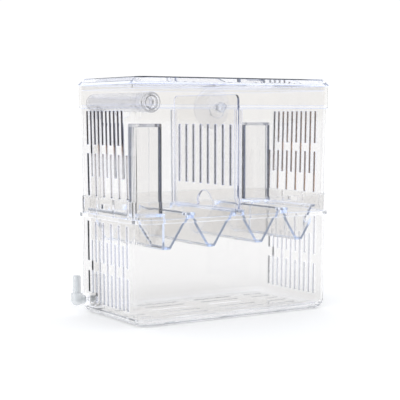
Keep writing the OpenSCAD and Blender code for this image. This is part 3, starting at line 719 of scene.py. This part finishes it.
def make_outlet(arm_material, mouth_material):
    """Arm and skirt of the outlet, joined by a rolled fillet, and its mouth with a ring inside."""
    turn = Matrix.Rotation(OUTLET_TURN, 4, "Z")
    forward = turn @ Matrix.Rotation(math.pi / 2, 4, "X")
    shoulder, tip = OUTLET_LENGTH - MOUTH_LENGTH, OUTLET_LENGTH - MOUTH_DEPTH
    outline = dome(ARM_RADIUS) + [
        (ARM_RADIUS, shoulder), (SPIGOT_RADIUS, shoulder), (SPIGOT_RADIUS, tip), (0, tip),
    ]
    arm = lathe("outlet_soft", outline, OUTLET_PLACE, forward)
    skirt = [(0, -14), (6.9, -14), (6.9, -13.0), (6.4, -12.2), (6.4, -1), (0, -1)]
    socket = [(0, -16), (4.85, -16), (4.85, -1.6), (3.6, -1.6), (3.6, 0), (0, 0)]
    carve(arm, lathe("skirt_tool", skirt, OUTLET_PLACE, turn), "UNION")
    carve(arm, lathe("socket_tool", socket, OUTLET_PLACE, turn), "DIFFERENCE")
    passage = dome(ARM_BORE) + [(ARM_BORE, OUTLET_LENGTH), (0, OUTLET_LENGTH)]
    carve(arm, lathe("bore_tool", passage, OUTLET_PLACE, forward), "DIFFERENCE")
    soft_skin(arm, SKIN_VOXEL, SKIN_ROUNDS)
    finish_piece(arm, arm_material, "outlet", ("outlet_elbow",))
    ring = [
        (ARM_BORE, 0.4), (ARM_BORE, MOUTH_DEPTH), (SPIGOT_RADIUS, MOUTH_DEPTH), (SPIGOT_RADIUS, MOUTH_LENGTH),
        (8.5, MOUTH_LENGTH), (8.5, 0.9), (7.8, 0.0), (7.1, 0.0), (7.1, 4.0), (6.0, 4.0), (6.0, 0.4),
    ]
    back = turn @ Matrix.Translation((0, -OUTLET_LENGTH * MM, 0)) @ Matrix.Rotation(-math.pi / 2, 4, "X")
    mouth = lathe("mouth_soft", rounded(ring, 0.35), OUTLET_PLACE, back, 96)
    return finish_piece(mouth, mouth_material, "outlet", ("outlet_mouth",))


# ---------------------------------------------------------------- operators


class BREEDING_OT_clear_boxes(bpy.types.Operator):
    """Dress the boxes, lid, divider and riser in clear polystyrene, with painted shade, painted light on the base
    and a painted glow
    """

    bl_idname = "breeding.clear_boxes"
    bl_label = "Clear boxes"

    def execute(self, context):
        clear = context.scene.breeding_clear
        wall, slot, fringe = tuple(clear.wall_colour), tuple(clear.slot_shade), tuple(clear.slot_fringe_shade)
        # Painted shade in the slots: across their depth and with height, the end slots run from the fringe colour
        # to the dark one, and the left ones are lighter at the foot.
        left_slot_shading = {
            "box": LEFT_SLOTS, "near": fringe, "far": slot, "foot": tuple(clear.slot_foot_shade),
            "change": (0.55, 0.72), "lean": 0.3625,
        }
        right_slot_shading = {"box": RIGHT_SLOTS, "near": slot, "far": fringe, "change": (0.25, 0.42), "lean": -0.3625}
        box_slot_shading = {"box": BOX_SLOTS, "near": tuple(clear.box_slot_shade)}
        # Painted light: a paler tint over the whole base plate.
        base_light_band = {"box": BASE_PLATE, "near": tuple(clear.base_painted_light), "way": ANY_WAY}
        divider_slot_shading = {"box": DIVIDER_SLOTS, "near": tuple(clear.divider_slot_shade)}
        # Painted glow on the back slots, base, base rim, shoulder, frame foot, lid rim and divider edges, each
        # with its share.
        box_painted_glow = (
            (BACK_SLOTS, 0.9, SIDEWAYS),
            (BASE_PLATE, 0.12, ANY_WAY),
            (BASE_RIM_ENDS, clear.base_painted_glow, ANY_WAY),
            (BASE_RIM_SIDES, clear.base_painted_glow, ANY_WAY),
            (SHOULDER, 0.6, UPWARDS),
        )
        frame_painted_glow = ((FRAME_FOOT, 0.9, UPWARDS),)
        lid_painted_glow = ((LID_RIM_ENDS, 0.1, ANY_WAY), (LID_RIM_SIDES, 0.1, ANY_WAY))
        divider_painted_glow = ((DIVIDER_EDGES, 1.0, SIDEWAYS),)
        even_painted_glow = clear.painted_edge_glow
        # Each piece: its wall colour, its painted edge shade, the strength of its painted glow, its painted bands
        # and its painted glow boxes.
        for node, colour, edge, glow, bands, painted_glow_boxes in (
            ("lower_box", wall, clear.box_edge_shade, even_painted_glow, (box_slot_shading, base_light_band), box_painted_glow),
            ("frame_section", wall, clear.frame_edge_shade, even_painted_glow, (left_slot_shading, right_slot_shading), frame_painted_glow),
            ("lid", tuple(clear.lid_colour), clear.lid_edge_shade, clear.lid_painted_glow, (), lid_painted_glow),
            ("divider", wall, clear.divider_edge_shade, even_painted_glow, (divider_slot_shading,), divider_painted_glow),
            ("riser_tube", wall, clear.box_edge_shade, even_painted_glow, (), ()),
        ):
            material = clear_material("clear_" + node, clear, colour, tuple(edge), glow, bands, painted_glow_boxes)
            dress(node, material, clear.bevel)
        return {"FINISHED"}


class BREEDING_OT_trays(bpy.types.Operator):
    """Dress the two trays and their uprights in clear plastic, with painted shade on the edges, the trays' ends
    and the uprights' ribs and caps, and a painted glow on the trays
    """

    bl_idname = "breeding.trays"
    bl_label = "Trays"

    def execute(self, context):
        clear = context.scene.breeding_clear
        wall, blue = tuple(clear.wall_colour), tuple(clear.tray_edge_shade)
        # Painted shade on the trays' ends, in the blue of their edges.
        ends = {"box": TRAY_ENDS, "near": blue, "way": SIDEWAYS}
        # Painted glow on the trays' ends and rim.
        painted_glow_boxes = ((TRAY_ENDS, 1.0, SIDEWAYS), (TRAY_RIM, 0.5, ANY_WAY))
        tray = clear_material(
            "clear_tray", clear, wall, blue, clear.tray_painted_glow, (ends,), painted_glow_boxes, TRAY_WAVES, TRAY_HAZE
        )
        for node in TRAY_NODES:
            dress(node, tray, clear.bevel)
        # Painted shade on the uprights' ribs and caps, and along their edges; the uprights get no painted glow.
        dark_parts = (
            (tuple(clear.rib_shade), (LEFT_SIDE_RIB, RIGHT_SIDE_RIB, LEFT_END_RIB, RIGHT_END_RIB)),
            (tuple(clear.cap_shade), (UPRIGHT_CAP_FRONT, UPRIGHT_CAP_END)),
        )
        bands = [{"box": box, "near": tint, "way": ANY_WAY} for tint, boxes in dark_parts for box in boxes]
        upright = clear_material("clear_upright", clear, wall, tuple(clear.frame_edge_shade), 0.0, bands)
        for node in UPRIGHT_NODES:
            dress(node, upright, clear.bevel)
        return {"FINISHED"}


class BREEDING_OT_soft_parts(bpy.types.Operator):
    """Make the suction cup, grommet and outlet of soft vinyl with painted edge shade and a painted glow, and
    round the air elbow's edges
    """

    bl_idname = "breeding.soft_parts"
    bl_label = "Soft parts"

    def execute(self, context):
        soft = context.scene.breeding_soft
        # Painted shade along the edges of the cup, grommet, mouth and outlet.
        edge = tuple(soft.outlet_edge_shade)
        # Painted blue cast on the cup's knob.
        knob = {"box": CUP_KNOB, "near": tuple(soft.knob_painted_cast), "way": ANY_WAY}
        cup_edge = tuple(soft.cup_edge_shade)
        cup = vinyl_material("cup_vinyl", tuple(soft.cup_colour), cup_edge, 0.05, 0.0, (knob,), 0.2)
        # Painted glow on the grommet and the mouth.
        grommet = vinyl_material("grommet_vinyl", tuple(soft.grommet_colour), edge, 0.06, 0.15)
        mouth = vinyl_material("mouth_vinyl", tuple(soft.mouth_colour), edge, 0.04, 0.035)
        outlet = vinyl_material("outlet_vinyl", tuple(soft.outlet_colour), edge, 0.05, 0.0)
        make_suction_cup(cup)
        make_grommet(grommet)
        make_outlet(outlet, mouth)
        dress("air_elbow", None, ELBOW_BEVEL)
        return {"FINISHED"}


class BREEDING_OT_stage(bpy.types.Operator):
    """Set up the floor, the light and the camera"""

    bl_idname = "breeding.stage"
    bl_label = "Stage"

    def execute(self, context):
        stage = context.scene.breeding_stage
        make_floor(stage)
        make_sky(context.scene, stage)
        make_lights()
        make_camera(context.scene, stage)
        return {"FINISHED"}


def make_floor(stage):
    """A wide pale floor under the box."""
    mesh = bmesh.new()
    bmesh.ops.create_circle(mesh, cap_ends=True, segments=96, radius=FLOOR_RADIUS)
    data = bpy.data.meshes.new("floor")
    mesh.to_mesh(data)
    mesh.free()
    floor = bpy.data.objects.new("floor", data)
    floor.location.z = -FLOOR_DROP
    bpy.context.collection.objects.link(floor)
    material, shader = plain_material("floor_white")
    shader.inputs["Base Color"].default_value = stage.floor_colour
    shader.inputs["Roughness"].default_value = 0.9
    shader.inputs["Emission Color"].default_value = stage.floor_colour
    shader.inputs["Emission Strength"].default_value = stage.floor_glow
    data.materials.append(material)


def make_sky(scene, stage):
    """Soft light from all round, brightest at the horizon."""
    world = bpy.data.worlds.new("studio")
    scene.world = world
    world.use_nodes = True
    tree = world.node_tree
    light = tree.nodes["Background"]
    where = tree_node(tree, "ShaderNodeTexCoord", (-800, 0))
    split = tree_node(tree, "ShaderNodeSeparateXYZ", (-600, 0))
    tree.links.new(where.outputs["Generated"], split.inputs[0])
    ramp = tree_node(tree, "ShaderNodeValToRGB", (-400, 0))
    tree.links.new(split.outputs["Z"], ramp.inputs[0])
    ramp.color_ramp.elements[0].position = 0.3
    ramp.color_ramp.elements[0].color = stage.sky_colour
    ramp.color_ramp.elements[1].position = 0.75
    ramp.color_ramp.elements[1].color = stage.overhead_colour
    tree.links.new(ramp.outputs[0], light.inputs[0])
    light.inputs["Strength"].default_value = SKY_STRENGTH


def make_lights():
    """Three wide soft lamps, far off, that light the floor evenly as far as the horizon."""
    for name, place, angle, power in LAMPS:
        data = bpy.data.lights.new(name, "SUN")
        data.angle = math.radians(angle)
        data.energy = power
        lamp = bpy.data.objects.new(name, data)
        lamp.location = place
        lamp.rotation_euler = (-Vector(place)).to_track_quat("-Z", "Y").to_euler()
        bpy.context.collection.objects.link(lamp)


def make_camera(scene, stage):
    """The camera, a little lower than the lid, looking at the left front corner."""
    data = bpy.data.cameras.new("camera")
    data.lens = stage.camera_lens
    data.sensor_width = 36.0
    data.clip_start = 0.01
    data.clip_end = 100.0
    camera = bpy.data.objects.new("camera", data)
    camera.location = (stage.camera_side, stage.camera_front, stage.camera_height)
    camera.rotation_euler = (math.radians(90) - stage.camera_tilt, 0, stage.camera_turn)
    bpy.context.collection.objects.link(camera)
    scene.camera = camera
    scene.view_settings.view_transform = "Standard"
    scene.cycles.max_bounces = CLEAR_BOUNCES
    scene.cycles.transmission_bounces = CLEAR_BOUNCES
    scene.cycles.transparent_max_bounces = CLEAR_BOUNCES
    scene.cycles.glossy_bounces = GLOSSY_BOUNCES
    scene.cycles.caustics_reflective = False


class BREEDING_PT_panel(bpy.types.Panel):
    """Lists the steps that dress the box"""

    bl_idname = "BREEDING_PT_panel"
    bl_label = "Fish breeding box"
    bl_space_type = "VIEW_3D"
    bl_region_type = "UI"
    bl_category = "Breeding box"

    def draw(self, context):
        for step in STEPS:
            self.layout.operator(step.bl_idname)
        for group in SETTINGS:
            settings = getattr(context.scene, group)
            for name in settings.__annotations__:
                self.layout.prop(settings, name)


STEPS = (BREEDING_OT_stage, BREEDING_OT_clear_boxes, BREEDING_OT_trays, BREEDING_OT_soft_parts)
CLASSES = (BreedingBoxClear, BreedingBoxSoft, BreedingBoxStage, *STEPS, BREEDING_PT_panel)
SETTINGS = {
    "breeding_clear": BreedingBoxClear,
    "breeding_soft": BreedingBoxSoft,
    "breeding_stage": BreedingBoxStage,
}


def register():
    """Registers the classes and puts the settings on the scene."""
    for item in CLASSES:
        bpy.utils.register_class(item)
    for name, kind in SETTINGS.items():
        setattr(bpy.types.Scene, name, bpy.props.PointerProperty(type=kind))


def unregister():
    """Takes the settings and the classes away again."""
    for name in SETTINGS:
        delattr(bpy.types.Scene, name)
    for item in reversed(CLASSES):
        bpy.utils.unregister_class(item)


def main():
    """Builds the dressed box step by step."""
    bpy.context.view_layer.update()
    register()
    bpy.ops.breeding.stage()
    bpy.ops.breeding.clear_boxes()
    bpy.ops.breeding.trays()
    bpy.ops.breeding.soft_parts()
    bpy.context.view_layer.update()


if __name__ == "__main__":
    main()
